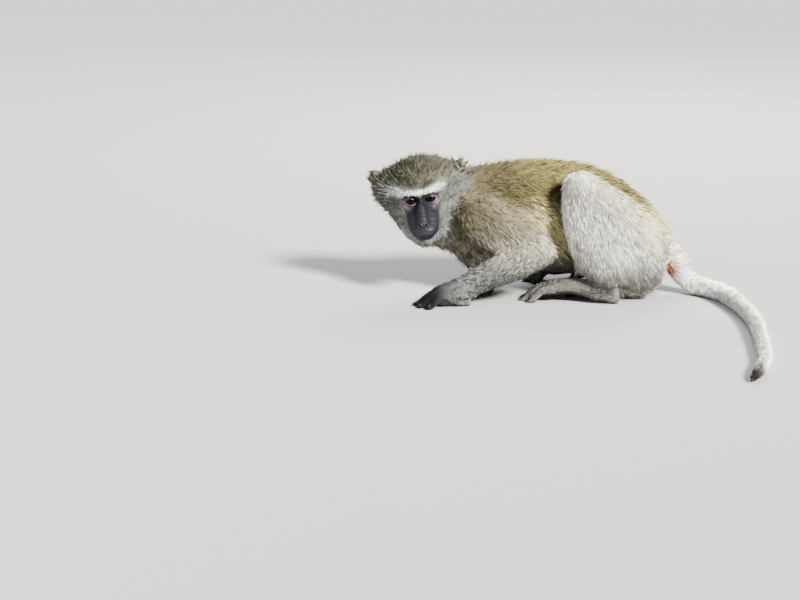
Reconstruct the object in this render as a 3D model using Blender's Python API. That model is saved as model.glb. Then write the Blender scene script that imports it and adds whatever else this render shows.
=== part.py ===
"""A life-size vervet monkey, crouched on all fours with its head turned to its left side.

Metres, +Z up.  The body lies along X with the rump towards +X, and the face looks along -Y.
Every solid reaches out to the tips of the coat.  The hands, the feet and the tail have small
flats at floor level.  The model is still, so its parts only meet, a hair's breadth apart.
"""

import math

import bmesh
import bpy
from mathutils import Matrix, Vector

# ---------------------------------------------------------------- driving sizes
GAP = 0.0003  # clearance between neighbouring parts
PRESS = 0.0012  # how far soft pads would sink below the floor before the flats are cut
PAD_SINK = 0.66  # height of a digit's tip over its radius: less than 1, as the pads are soft
SNAP = 0.00002  # corners this near to a cut are moved onto it
RING = 18  # points round a limb

# Joints of the skeleton, in the animal's own place above the floor.
SHOULDER = {"left": Vector((-0.085, -0.042, 0.122)), "right": Vector((-0.085, 0.042, 0.122))}
ELBOW = {"left": Vector((0.004, -0.086, 0.074)), "right": Vector((0.012, 0.084, 0.066))}
WRIST = {"left": Vector((-0.104, -0.090, 0.025)), "right": Vector((-0.072, 0.000, 0.024))}
HIP = {"left": Vector((0.141, -0.046, 0.066)), "right": Vector((0.141, 0.044, 0.064))}
KNEE = {"left": Vector((0.050, -0.079, 0.172)), "right": Vector((0.040, 0.098, 0.132))}
ANKLE = {"left": Vector((0.092, -0.078, 0.026)), "right": Vector((0.104, 0.068, 0.026))}

ANKLE_CUT = 0.040  # height of the parting between shank and foot
ANKLE_CUT_TILT = Vector((-0.4, 0.0, -1.0))

# Headings of hands and feet on the floor: degrees from -X, positive towards -Y.
HAND_HEADING = {"left": 14.0, "right": 38.0}
FOOT_HEADING = {"left": -11.0, "right": -6.0}

# The head: where its middle sits, and how it is turned.
HEAD_CENTRE = Vector((-0.1675, -0.018, 0.137))
HEAD_YAW, HEAD_PITCH, HEAD_ROLL = -92.0, 5.0, 9.0
EYE_RADIUS = 0.0092
EYE_PLACE = Vector((0.0285, 0.0140, 0.008))  # forward, left and up from the head's middle

# The tail: length and thickness, with the coat.
TAIL_LENGTH = 0.64
TAIL_ROOT = Vector((0.166, 0.0, 0.070))
TAIL_DROP = 0.092  # length of tail that leads from the rump down to the floor
TAIL_RADII = ((0.0, 0.0185), (0.14, 0.0145), (0.4, 0.0120), (0.8, 0.0100), (0.95, 0.0092), (1.0, 0.0060))
TAIL_HEADINGS = ((0.0, 4.0), (0.12, 30.0), (0.28, 78.0), (0.6, 93.0), (0.8, 94.0), (1.0, 112.0))
TAIL_STEP = 0.020
TAIL_JOINT = 2  # the ring where the tail parts from the rump
TAIL_PARTS = ("tail_base", "tail_middle", "tail_end")

# The trunk as rings: back (x, z), belly (x, z), half width.
TRUNK_RINGS = (
    ((-0.120, 0.152), (-0.122, 0.052), 0.036),  # breast
    ((-0.105, 0.173), (-0.111, 0.040), 0.046),
    ((-0.081, 0.184), (-0.092, 0.034), 0.054),  # shoulders
    ((-0.045, 0.190), (-0.050, 0.033), 0.060),
    ((0.000, 0.192), (-0.006, 0.032), 0.063),  # ribs
    ((0.048, 0.189), (0.038, 0.031), 0.064),
    ((0.094, 0.175), (0.072, 0.026), 0.063),  # loin
    ((0.131, 0.151), (0.103, 0.013), 0.060),
    ((0.159, 0.126), (0.130, 0.007), 0.055),  # hips
    ((0.179, 0.101), (0.155, 0.010), 0.043),
    ((0.190, 0.080), (0.175, 0.027), 0.027),  # rump
)
NECK_BASE = Vector((-0.112, 0.0, 0.110))  # where the neck parts from the trunk
NECK_RUN = ((-0.080, 0.000, 0.118, 0.048, 0.059), (-0.118, -0.001, 0.116, 0.047, 0.056),
            (-0.146, 0.000, 0.114, 0.042, 0.050), (-0.164, 0.003, 0.122, 0.035, 0.038))

# Colours: base colour and roughness of the plain finishes.
FINISHES = {
    "olive_coat": ((0.30, 0.27, 0.17), 0.9),
    "grey_coat": ((0.42, 0.41, 0.36), 0.9),
    "pale_coat": ((0.62, 0.60, 0.54), 0.9),
    "dark_skin": ((0.06, 0.055, 0.06), 0.7),
    "eye": ((0.10, 0.045, 0.02), 0.1),
}


# ---------------------------------------------------------------- helpers
def clear_scene():
    for obj in list(bpy.data.objects):
        bpy.data.objects.remove(obj, do_unlink=True)


def finish_material(name):
    material = bpy.data.materials.get(name)
    if material is None:
        colour, roughness = FINISHES[name]
        material = bpy.data.materials.new(name)
        material.use_nodes = True
        shader = material.node_tree.nodes["Principled BSDF"]
        shader.inputs["Base Color"].default_value = (*colour, 1.0)
        shader.inputs["Roughness"].default_value = roughness
    return material


def new_object(name, mesh):
    obj = bpy.data.objects.new(name, mesh)
    bpy.context.scene.collection.objects.link(obj)
    return obj


def evaluated_mesh(obj):
    bpy.context.view_layer.update()
    graph = bpy.context.evaluated_depsgraph_get()
    return bpy.data.meshes.new_from_object(obj.evaluated_get(graph))


def apply_modifiers(obj):
    mesh = evaluated_mesh(obj)
    obj.modifiers.clear()
    obj.data = mesh


def smooth_curve(values, t):
    """Catmull-Rom through values (numbers or vectors), with t from 0 to 1."""
    last = len(values) - 1
    place = min(max(t, 0.0), 1.0) * last
    i = min(int(place), last - 1)
    u = place - i
    before, a, b, after = values[max(i - 1, 0)], values[i], values[i + 1], values[min(i + 2, last)]
    return 0.5 * (
        2 * a + (b - before) * u + (2 * before - 5 * a + 4 * b - after) * u**2
        + (3 * a - before - 3 * b + after) * u**3
    )


def ramp(table, t):
    """Straight-line look-up in pairs (t, value)."""
    for (t0, v0), (t1, v1) in zip(table, table[1:]):
        if t <= t1:
            return v0 + (v1 - v0) * max(t - t0, 0.0) / (t1 - t0)
    return table[-1][1]


def fade(distance, run):
    """How plainly a place may be meshed: from 0.6 where distance is 0, up to 1 past run."""
    return 0.6 + 0.4 * min(max(distance / run, 0.0), 1.0)


def ring_points(centre, across, upward, count=RING):
    """An ellipse of half axes across and upward."""
    return [
        centre + across * math.cos(2 * math.pi * k / count) + upward * math.sin(2 * math.pi * k / count)
        for k in range(count)
    ]


def skinned(name, rings):
    """A closed solid over rings of equal count, with a fan of faces at each end."""
    form = bmesh.new()
    rows = [[form.verts.new(p) for p in ring] for ring in rings]
    for low, high in zip(rows, rows[1:]):
        for k in range(len(low)):
            n = (k + 1) % len(low)
            form.faces.new((low[k], low[n], high[n], high[k]))
    for row in (rows[0], rows[-1]):
        pole = form.verts.new(sum((v.co for v in row), Vector()) / len(row))
        for k in range(len(row)):
            form.faces.new((row[k], row[(k + 1) % len(row)], pole))
    bmesh.ops.recalc_face_normals(form, faces=form.faces)
    mesh = bpy.data.meshes.new(name)
    form.to_mesh(mesh)
    form.free()
    return new_object(name, mesh)


def limb(name, points, sizes, side, steps=10):
    """A rounded limb along points; sizes are its half widths (across, upward), side is its broad way."""
    widths = [Vector((a, b, 0.0)) for a, b in sizes]
    rings = []
    for k in range(steps + 1):
        t = k / steps
        centre, size = smooth_curve(points, t), smooth_curve(widths, t)
        along = (smooth_curve(points, t + 0.02) - smooth_curve(points, t - 0.02)).normalized()
        up = along.cross(side).normalized()
        rings.append((centre, up.cross(along).normalized(), up, size, along))
    for end, way in ((0, -1.0), (-1, 1.0)):  # round both ends off
        centre, across, up, size, along = rings[end]
        reach = min(size.x, size.y)
        caps = [
            (centre + along * way * reach * math.sin(a), across, up, size * math.cos(a), along)
            for a in (math.radians(d) for d in (28, 54, 76))
        ]
        rings = caps[::-1] + rings if way < 0 else rings + caps
    return skinned(name, [ring_points(c, s * w.x, u * w.y) for c, s, u, w, _ in rings])


def ellipsoid(name, centre, radii, place=Matrix.Identity(4), turn=0.0):
    """An ellipsoid whose axes are those of place, turned about its upright axis by turn degrees."""
    form = bmesh.new()
    bmesh.ops.create_icosphere(form, subdivisions=4, radius=1.0)
    shape = Matrix.Translation(centre) @ Matrix.Rotation(math.radians(turn), 4, "Z")
    form.transform(place @ shape @ Matrix.Diagonal((*radii, 1.0)))
    mesh = bpy.data.meshes.new(name)
    form.to_mesh(mesh)
    form.free()
    return new_object(name, mesh)


def blended(name, pieces, voxel, rounds, triangles, plain=None):
    """Joins overlapping pieces into one smooth solid of about so many triangles.

    Where plain(place) is near 1 the triangles are thinned out most, and near 0 least.
    """
    form = bmesh.new()
    for piece in pieces:
        mesh = evaluated_mesh(piece)
        mesh.transform(piece.matrix_world)
        form.from_mesh(mesh)
        bpy.data.objects.remove(piece, do_unlink=True)
    mesh = bpy.data.meshes.new(name)
    form.to_mesh(mesh)
    form.free()
    obj = new_object(name, mesh)
    remesh = obj.modifiers.new("blend", "REMESH")
    remesh.mode = "VOXEL"
    remesh.voxel_size = voxel
    soften = obj.modifiers.new("soften", "SMOOTH")
    soften.factor = 0.5
    soften.iterations = rounds
    apply_modifiers(obj)
    keep_largest(obj)
    count = sum(len(p.vertices) - 2 for p in obj.data.polygons)
    thin = obj.modifiers.new("thin_out", "DECIMATE")
    thin.ratio = min(1.0, triangles / count)
    thin.use_collapse_triangulate = True
    if plain:
        group = obj.vertex_groups.new(name="plain")
        for vert in obj.data.vertices:
            group.add([vert.index], plain(vert.co), "REPLACE")
        thin.vertex_group = "plain"
        thin.vertex_group_factor = 1.0
    apply_modifiers(obj)
    obj.vertex_groups.clear()
    return obj


def islands(form):
    """The connected groups of vertices of a bmesh, largest first."""
    left, found = set(form.verts), []
    while left:
        start = left.pop()
        group, edge = {start}, [start]
        while edge:
            vert = edge.pop()
            for link in vert.link_edges:
                other = link.other_vert(vert)
                if other in left:
                    left.discard(other)
                    group.add(other)
                    edge.append(other)
        found.append(group)
    return sorted(found, key=len, reverse=True)


def keep_largest(obj):
    form = bmesh.new()
    form.from_mesh(obj.data)
    spare = [v for group in islands(form)[1:] for v in group]
    bmesh.ops.delete(form, geom=spare, context="VERTS")
    form.to_mesh(obj.data)
    form.free()


def cutter_of(obj, grow=GAP):
    """A hidden copy of a solid, grown by the clearance."""
    mesh = obj.data.copy()
    for vert in mesh.vertices:
        vert.co += vert.normal * grow
    return hidden(new_object("cutter_" + obj.name, mesh))


def hidden(obj):
    obj.hide_render = True
    obj.display_type = "WIRE"
    return obj


def carve(obj, *cutters):
    """Takes the cutters away from the solid, and keeps its main body."""
    for cutter in cutters:
        cut = obj.modifiers.new("carve", "BOOLEAN")
        cut.operation = "DIFFERENCE"
        cut.solver = "EXACT"
        cut.object = cutter
        apply_modifiers(obj)
    keep_largest(obj)
    for cutter in cutters:
        bpy.data.objects.remove(cutter, do_unlink=True)


def clear_of(obj, *neighbours):
    carve(obj, *(cutter_of(n) for n in neighbours))


def halve(obj, point, normal):
    """Cuts away what lies beyond a plane, on the side normal points to, and closes the cut."""
    form = bmesh.new()
    form.from_mesh(obj.data)
    everything = form.verts[:] + form.edges[:] + form.faces[:]
    bmesh.ops.bisect_plane(form, geom=everything, dist=SNAP, plane_co=point, plane_no=normal,
                           clear_outer=True)
    bmesh.ops.holes_fill(form, edges=[e for e in form.edges if e.is_boundary])
    bmesh.ops.triangulate(form, faces=form.faces[:])
    form.to_mesh(obj.data)
    form.free()
    keep_largest(obj)


def split(obj, name_near, name_far, point, normal):
    """Parts a solid with a thin cut. What lies along normal takes the name name_far."""
    side = normal.normalized()
    far = new_object(name_far, obj.data.copy())
    obj.name = name_near
    halve(obj, point - side * GAP / 2, side)
    halve(far, point + side * GAP / 2, -side)
    return obj, far


def flatten_on_floor(obj):
    """Cuts away what would press into the floor, which leaves small flats."""
    halve(obj, Vector(), Vector((0.0, 0.0, -1.0)))


def bisecting(joint, first, second):
    """The normal of the plane that halves the angle at a joint, pointing to the second bone's side."""
    return ((second - joint).normalized() - (first - joint).normalized()).normalized()


# ---------------------------------------------------------------- head
def head_frame():
    turn = (
        Matrix.Rotation(math.radians(HEAD_YAW), 4, "Z")
        @ Matrix.Rotation(math.radians(HEAD_PITCH), 4, "Y")
        @ Matrix.Rotation(math.radians(HEAD_ROLL), 4, "X")
    )
    return Matrix.Translation(HEAD_CENTRE) @ turn


def in_head(x, y, z):
    """A place in the head: forward, left and up from its middle."""
    return head_frame() @ Vector((x, y, z))


def head_limb(name, stations, steps=10):
    """A rounded form in the head, from stations (forward, left, up, half width, half height)."""
    left = head_frame().to_3x3() @ Vector((0.0, 1.0, 0.0))
    return limb(name, [in_head(*s[:3]) for s in stations], [s[3:] for s in stations], left, steps)


def make_head():
    place = head_frame()
    fur = [ellipsoid("crown", (-0.014, 0.0, 0.021), (0.047, 0.059, 0.0425), place)]
    for side in (-1, 1):
        fur += [
            ellipsoid("temple_fur", (-0.010, side * 0.043, 0.021), (0.025, 0.0250, 0.027), place),
            head_limb("cheek_fur", ((-0.008, side * 0.041, 0.014, 0.024, 0.023),
                                    (0.000, side * 0.032, -0.010, 0.023, 0.023),
                                    (0.008, side * 0.021, -0.034, 0.020, 0.020),
                                    (0.018, side * 0.008, -0.051, 0.014, 0.013))),
        ]
    pieces = [
        blended("head_fur", fur, 0.0025, 16, 40000),
        ellipsoid("face", (0.012, 0.0, -0.003), (0.0235, 0.040, 0.040), place),
        head_limb("nose_bridge", ((0.026, 0, 0.014, 0.010, 0.010), (0.040, 0, 0.002, 0.0070, 0.009),
                                  (0.056, 0, -0.013, 0.0078, 0.008), (0.0630, 0, -0.0195, 0.0090, 0.0068))),
        head_limb("muzzle", ((0.010, 0, -0.016, 0.030, 0.023), (0.036, 0, -0.021, 0.0248, 0.019),
                             (0.052, 0, -0.0275, 0.0212, 0.0135), (0.0590, 0, -0.0300, 0.0180, 0.0105))),
        head_limb("lower_jaw", ((-0.006, 0, -0.034, 0.031, 0.018), (0.022, 0, -0.040, 0.0250, 0.0175),
                                (0.042, 0, -0.0450, 0.0200, 0.0140), (0.0510, 0, -0.0460, 0.0165, 0.0112))),
        head_limb("brow", ((0.020, -0.030, 0.0195, 0.011, 0.011), (0.0310, -0.014, 0.0235, 0.0100, 0.0090),
                           (0.0325, 0, 0.0225, 0.0100, 0.0090),
                           (0.0310, 0.014, 0.0235, 0.0100, 0.0090), (0.020, 0.030, 0.0195, 0.011, 0.011))),
    ]
    for side in (-1, 1):
        pieces.append(ellipsoid("cheekbone", (0.0215, side * 0.022, -0.006), (0.0090, 0.014, 0.013), place))
    into_head = place.inverted()
    return blended("head", pieces, 0.0017, 6, 1400, lambda co: fade(0.016 - (into_head @ co).x, 0.02))


def make_eyes():
    eyes = {}
    for side, way in (("left", 1), ("right", -1)):
        form = bmesh.new()
        bmesh.ops.create_uvsphere(form, u_segments=12, v_segments=9, radius=EYE_RADIUS)
        place = in_head(EYE_PLACE.x, way * EYE_PLACE.y, EYE_PLACE.z)
        form.transform(Matrix.Translation(place) @ head_frame().to_3x3().to_4x4())
        mesh = bpy.data.meshes.new("eye_" + side)
        form.to_mesh(mesh)
        form.free()
        eyes[side] = new_object("eye_" + side, mesh)
    return eyes


def make_ear(side):
    """A small rounded ear: a dished leaf that stands out of the ruff."""
    way = 1 if side == "left" else -1
    height, width, thick = 0.0180, 0.0140, 0.0021
    place = head_frame() @ Matrix.Translation((-0.014, way * 0.0565, 0.0285))
    turn = Matrix.Rotation(math.radians(way * -38), 4, "Z")
    lean = turn @ Matrix.Rotation(math.radians(way * 6), 4, "X")
    form = bmesh.new()
    bmesh.ops.create_icosphere(form, subdivisions=3, radius=1.0)
    for vert in form.verts:
        x, y, z = vert.co
        rim = y * y + z * z
        vert.co = Vector((x * thick + 0.0035 * rim, y * width, z * height + 0.002))
    form.transform(place @ lean)
    mesh = bpy.data.meshes.new("ear_" + side)
    form.to_mesh(mesh)
    form.free()
    ear = new_object("ear_" + side, mesh)
    thin = ear.modifiers.new("thin_out", "DECIMATE")
    thin.ratio = 0.4
    apply_modifiers(ear)
    return ear


# ---------------------------------------------------------------- trunk, neck and tail
def make_trunk_and_neck():
    backs = [Vector((x, 0.0, z)) for (x, z), _, _ in TRUNK_RINGS]
    bellies = [Vector((x, 0.0, z)) for _, (x, z), _ in TRUNK_RINGS]
    widths = [w for _, _, w in TRUNK_RINGS]
    rings = []
    steps = 30
    for k in range(steps + 1):
        t = k / steps
        back, belly, width = smooth_curve(backs, t), smooth_curve(bellies, t), smooth_curve(widths, t)
        rings.append(ring_points((back + belly) / 2, Vector((0.0, width, 0.0)), (back - belly) / 2, 32))
    pieces = [skinned("barrel", rings)]
    for side, way in (("left", -1), ("right", 1)):
        pieces += [
            ellipsoid("shoulder_mass", SHOULDER[side] + Vector((0.010, -way * 0.010, 0.0)),
                      (0.042, 0.024, 0.042)),
            ellipsoid("haunch", (0.142, way * 0.026, 0.060), (0.042, 0.026, 0.046)),
        ]
    sideways = Vector((0.0, 1.0, 0.0))
    run = [Vector(s[:3]) for s in NECK_RUN]
    root = [TAIL_ROOT + Vector((-0.020, 0, 0.008)), *(tail_place(k)[0] for k in (0, 1, 2, 3))]
    widths = [(0.030, 0.030), (0.024, 0.024), *((tail_place(k)[2],) * 2 for k in (1, 2, 3))]
    pieces += [
        limb("neck_form", run, [s[3:] for s in NECK_RUN], sideways),
        limb("tail_root", root, widths, sideways),
        ellipsoid("scrotum", (0.118, -0.016, 0.019), (0.014, 0.013, 0.014)),
    ]
    torso = blended("torso", pieces, 0.004, 6, 960)
    joint, along, _ = tail_place(TAIL_JOINT)
    halve(torso, joint, along)
    return split(torso, "trunk", "neck", NECK_BASE, Vector((-1.0, 0.0, 0.12)))


def tail_rings():
    """Rings along the tail, from its root in the rump down to the floor and along it."""
    steps = round(TAIL_LENGTH / TAIL_STEP)
    low = ramp(TAIL_RADII, TAIL_DROP / TAIL_LENGTH)
    rings, place = [], TAIL_ROOT.copy()
    for k in range(steps + 1):
        t = k / steps
        radius = ramp(TAIL_RADII, t)
        fall = min(t * TAIL_LENGTH / TAIL_DROP, 1.0)
        ease = fall * fall * (3 - 2 * fall)
        height = radius - PRESS + (TAIL_ROOT.z - low + PRESS) * (1 - ease)
        if t < TAIL_DROP / TAIL_LENGTH:
            height = TAIL_ROOT.z + (low - PRESS - TAIL_ROOT.z) * ease
        if k:
            rise = height - place.z
            run = math.sqrt(max(TAIL_STEP**2 - rise**2, 0.0))
            heading = math.radians(ramp(TAIL_HEADINGS, t))
            place = Vector((place.x + run * math.cos(heading), place.y - run * math.sin(heading), height))
        rings.append((place.copy(), radius))
    return rings


def tail_place(k):
    """The centre, heading and radius of the tail at a ring."""
    rings = tail_rings()
    ahead, behind = rings[min(k + 1, len(rings) - 1)][0], rings[max(k - 1, 0)][0]
    return rings[k][0], (ahead - behind).normalized(), rings[k][1]


def make_tail():
    last = len(tail_rings()) - 1
    bounds = [TAIL_JOINT, round(last * 0.36), round(last * 0.68), last]
    tail = []
    for name, start, end in zip(TAIL_PARTS, bounds, bounds[1:]):
        stretch = []
        for k in range(start, end + 1):
            centre, along, radius = tail_place(k)
            across = along.cross(Vector((0.0, 0.0, 1.0))).normalized()
            up = across.cross(along)
            if k == start:
                centre = centre + along * GAP
            stretch.append(ring_points(centre, across * radius, up * radius, 11))
            if k == last:
                tip = centre + along * radius * 1.4
                stretch.append(ring_points(tip, across * radius * 0.4, up * radius * 0.4, 11))
        tail.append(skinned(name, stretch))
    return tail


# ---------------------------------------------------------------- limbs
def heading_vectors(degrees):
    """Forward and sideways (towards the camera's side, -Y, turned) on the floor."""
    angle = math.radians(degrees)
    forward = Vector((-math.cos(angle), -math.sin(angle), 0.0))
    return forward, Vector((-forward.y, forward.x, 0.0))


def digit(name, base, heading, length, radius, rise=0.006):
    """A finger or toe: it arches from its knuckle and comes down to its pad."""
    forward, side = heading_vectors(heading)
    floor = radius * PAD_SINK - PRESS
    points = [
        base,
        base + forward * length * 0.42 + Vector((0, 0, rise * 0.4 - (base.z - floor) * 0.30)),
        Vector((*(base + forward * length * 0.78).xy, floor + 0.0022)),
        Vector((*(base + forward * length).xy, floor)),
    ]
    sizes = [(radius * 1.12, radius * 1.08), (radius * 1.05, radius), (radius * 0.95, radius * 0.88),
             (radius * 0.72, radius * 0.66)]
    return limb(name, points, sizes, side, 7)


def make_hand(side):
    """Palm, four fingers and a thumb, with the palm and the finger pads on the floor."""
    wrist = WRIST[side]
    outer = 1 if side == "left" else -1  # the little finger's side, along -Y
    forward, across = heading_vectors(HAND_HEADING[side])
    flat = Vector((0, 0, 1))
    knuckles = Vector((*(wrist + forward * 0.040).xy, 0.0165))
    pieces = [
        limb("palm", [wrist - forward * 0.006, wrist + forward * 0.014 - flat * 0.004, knuckles],
             [(0.0165, 0.0165), (0.0175, 0.0150), (0.0190, 0.0122)], across, 8),
        limb("palm_heel", [Vector((*(wrist + forward * 0.004).xy, 0.010)), knuckles - flat * 0.007],
             [(0.0135, 0.0112), (0.0160, 0.0080)], across, 6),
    ]
    fingers = ((-0.0145, 0.027, -12), (-0.0050, 0.033, -4), (0.0050, 0.032, 5), (0.0140, 0.026, 15))
    for offset, length, spread in fingers:
        base = knuckles + across * (outer * offset) - forward * (abs(offset) * 0.35)
        pieces.append(digit("finger", base, HAND_HEADING[side] + outer * spread, length + 0.004, 0.0054))
    thumb = wrist + forward * 0.016 - across * (outer * 0.014) - flat * (wrist.z - 0.012)
    pieces.append(digit("thumb", thumb, HAND_HEADING[side] - outer * 46, 0.022, 0.0050, 0.003))
    return pieces


def make_foot(side):
    """Heel, arched instep, four toes and the big toe that stands off the inner side."""
    ankle = ANKLE[side]
    outer = 1 if side == "left" else -1
    forward, across = heading_vectors(FOOT_HEADING[side])
    heel = Vector((*(ankle - forward * 0.009).xy, 0.0130))

    def along(distance, height):
        return Vector((*(heel + forward * distance).xy, height))

    pieces = [
        limb("instep", [heel, along(0.030, 0.0180), along(0.060, 0.0230), along(0.088, 0.0200)],
             [(0.0135, 0.0142), (0.0135, 0.0125), (0.0165, 0.0110), (0.0190, 0.0105)], across, 12),
    ]
    toes = ((-0.0140, 0.034, -9), (-0.0045, 0.043, -3), (0.0050, 0.042, 4), (0.0140, 0.034, 12))
    for offset, length, spread in toes:
        base = along(0.090 - abs(offset) * 0.4, 0.0185) + across * (outer * offset)
        pieces.append(digit("toe", base, FOOT_HEADING[side] + outer * spread, length, 0.0060, 0.011))
    big = along(0.044, 0.014) - across * (outer * 0.011)
    pieces.append(digit("big_toe", big, FOOT_HEADING[side] - outer * 40, 0.034, 0.0064, 0.004))
    return pieces


def make_arm(side):
    shoulder, elbow, wrist = SHOULDER[side], ELBOW[side], WRIST[side]
    upper_way, lower_way = elbow - shoulder, wrist - elbow
    hinge = upper_way.cross(lower_way).normalized()
    pieces = [
        limb("upper", [shoulder, shoulder + upper_way * 0.5 - Vector((0, 0, 0.004)), elbow],
             [(0.032, 0.041), (0.0255, 0.0365), (0.0190, 0.0205)], hinge),
        limb("lower", [elbow, elbow + lower_way * 0.35 + Vector((0, 0, 0.001)),
                       elbow + lower_way * 0.75 + Vector((0, 0, 0.003)), wrist + Vector((0, 0, 0.002))],
             [(0.0185, 0.0195), (0.0200, 0.0235), (0.0170, 0.0200), (0.0155, 0.0172)], hinge),
    ]
    wrist_cut = wrist + lower_way.normalized() * 0.004
    arm = blended("arm_" + side, pieces + make_hand(side), 0.0016, 4, 610,
                  lambda co: fade((wrist_cut - co).dot(lower_way.normalized()), 0.03))
    upper, lower = split(arm, "upper_arm_" + side, "forearm_" + side, elbow,
                         bisecting(elbow, shoulder, wrist))
    lower, hand = split(lower, "forearm_" + side, "hand_" + side, wrist_cut, lower_way)
    return upper, lower, hand


def make_leg(side):
    hip, knee, ankle = HIP[side], KNEE[side], ANKLE[side]
    thigh_way, shank_way = knee - hip, ankle - knee
    hinge = thigh_way.cross(shank_way).normalized()
    pieces = [
        limb("thigh_form", [hip, hip + thigh_way * 0.45 - Vector((0, 0, 0.004)), knee],
             [(0.034, 0.050), (0.0310, 0.0480), (0.0235, 0.0245)], hinge),
        limb("shank_form", [knee, knee + shank_way * 0.32 + Vector((-0.005, 0, 0)),
                            knee + shank_way * 0.68 + Vector((-0.007, 0, 0)),
                            ankle + Vector((0.001, 0, 0.006))],
             [(0.0235, 0.0240), (0.0255, 0.0325), (0.0225, 0.0310), (0.0165, 0.0190)], hinge),
        ellipsoid("calf_fur", ankle + Vector((0.018, 0.0, 0.028)), (0.030, 0.020, 0.028)),
        ellipsoid("seat_fur", Vector((hip.x - 0.003, hip.y * 0.64 + knee.y * 0.36, 0.050)),
                  (0.039, 0.028, 0.046)),
    ]
    leg = blended("leg_" + side, pieces + make_foot(side), 0.0018, 4, 700,
                  lambda co: fade(co.z - ANKLE_CUT, 0.03))
    crease = Vector((ankle.x + 0.028, ankle.y, 0.0)) - knee  # runs down behind the calf to the heel
    thigh, shank = split(leg, "thigh_" + side, "shank_" + side, knee, crease.cross(hinge))
    ankle_cut = Vector((*ankle.xy, ANKLE_CUT))
    shank, foot = split(shank, "shank_" + side, "foot_" + side, ankle_cut, ANKLE_CUT_TILT)
    return thigh, shank, foot


# ---------------------------------------------------------------- assembly
def stand_at_origin(objects):
    """Moves the animal so that the origin is on the floor under the middle of its outline."""
    bpy.context.view_layer.update()
    points = [obj.matrix_world @ v.co for obj in objects for v in obj.data.vertices]
    low = Vector([min(p[i] for p in points) for i in range(3)])
    high = Vector([max(p[i] for p in points) for i in range(3)])
    shift = Vector((-(low.x + high.x) / 2, -(low.y + high.y) / 2, -low.z))
    for obj in objects:
        obj.data.transform(Matrix.Translation(shift))


def dress(finish, *objects):
    for obj in objects:
        obj.data.materials.clear()
        obj.data.materials.append(finish_material(finish))
        obj.data.shade_smooth()


def build():
    clear_scene()
    (trunk, neck), head, tail = make_trunk_and_neck(), make_head(), make_tail()
    eyes = make_eyes()
    ears = {side: make_ear(side) for side in ("left", "right")}
    arms = {side: make_arm(side) for side in ("left", "right")}
    legs = {side: make_leg(side) for side in ("left", "right")}

    clear_of(head, eyes["left"], eyes["right"])
    clear_of(trunk, head)
    clear_of(neck, head)
    for side in ("left", "right"):
        upper, lower, hand = arms[side]
        thigh, shank, foot = legs[side]
        clear_of(ears[side], head, neck)
        clear_of(upper, trunk, neck, head)
        clear_of(lower, trunk)
        clear_of(hand, trunk)
        clear_of(thigh, trunk)
        clear_of(shank, trunk)
        clear_of(foot, trunk)
        flatten_on_floor(hand)
        flatten_on_floor(foot)
    for length in tail:
        flatten_on_floor(length)

    dress("olive_coat", trunk, head)
    dress("grey_coat", neck, *(o for side in arms for o in arms[side][:2]), *tail)
    dress("pale_coat", *(o for side in legs for o in legs[side][:2]))
    dress("dark_skin", *(arms[s][2] for s in arms), *(legs[s][2] for s in legs), *ears.values())
    dress("eye", *eyes.values())
    nodes = [trunk, neck, head, *tail, *eyes.values(), *ears.values()]
    nodes += [o for side in arms for o in arms[side]] + [o for side in legs for o in legs[side]]
    stand_at_origin(nodes)


build()
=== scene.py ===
"""The dressed vervet monkey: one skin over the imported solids, with eyes, nails and a coat of tufts.

The lie of the coat, its length and its markings are functions of the place on the body, and the
skin and the tufts share them.  Places are in the animal's own frame, in metres: +X is towards the
rump, -Y is where the face looks, +Z is up.  Head places are forward, left and up from the head's
middle.
"""

import math

import bmesh
import bpy
import numpy as np
from mathutils import Matrix, Vector, noise
from mathutils.bvhtree import BVHTree


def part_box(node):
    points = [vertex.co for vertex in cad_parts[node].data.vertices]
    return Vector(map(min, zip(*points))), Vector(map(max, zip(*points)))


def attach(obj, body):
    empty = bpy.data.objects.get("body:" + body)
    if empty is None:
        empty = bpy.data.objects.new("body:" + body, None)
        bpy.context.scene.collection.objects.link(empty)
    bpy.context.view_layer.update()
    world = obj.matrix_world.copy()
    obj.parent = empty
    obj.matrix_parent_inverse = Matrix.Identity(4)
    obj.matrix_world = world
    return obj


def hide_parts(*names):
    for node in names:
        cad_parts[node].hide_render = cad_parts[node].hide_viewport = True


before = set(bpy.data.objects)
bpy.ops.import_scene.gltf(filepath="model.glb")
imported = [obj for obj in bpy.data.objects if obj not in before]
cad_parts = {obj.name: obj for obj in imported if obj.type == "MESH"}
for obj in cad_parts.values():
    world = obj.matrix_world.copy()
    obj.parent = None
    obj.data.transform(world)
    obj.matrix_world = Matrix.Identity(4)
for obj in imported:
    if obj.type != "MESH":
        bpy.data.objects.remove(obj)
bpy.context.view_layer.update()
scene = bpy.context.scene
random = np.random.default_rng(11)
noise.seed_set(11)  # otherwise the clock sets it

# ---------------------------------------------------------------- the pose, as the solids have it
HEAD_CENTRE = Vector((-0.1675, -0.018, 0.137))
HEAD_YAW, HEAD_PITCH, HEAD_ROLL = -92.0, 5.0, 9.0
EYE_PLACE = Vector((0.0285, 0.0140, 0.008))
EYE_RADIUS = 0.0092
EYE_SINK = 0.0010  # how much deeper the eyeballs sit than their solids
SHOULDER = {"left": Vector((-0.085, -0.042, 0.122)), "right": Vector((-0.085, 0.042, 0.122))}
ELBOW = {"left": Vector((0.004, -0.086, 0.074)), "right": Vector((0.012, 0.084, 0.066))}
WRIST = {"left": Vector((-0.104, -0.090, 0.025)), "right": Vector((-0.072, 0.000, 0.024))}
ANKLE = {"left": Vector((0.092, -0.078, 0.026)), "right": Vector((0.104, 0.068, 0.026))}
HAND_HEADING = {"left": 14.0, "right": 38.0}  # degrees from -X, positive towards -Y
FOOT_HEADING = {"left": -11.0, "right": -6.0}
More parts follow.
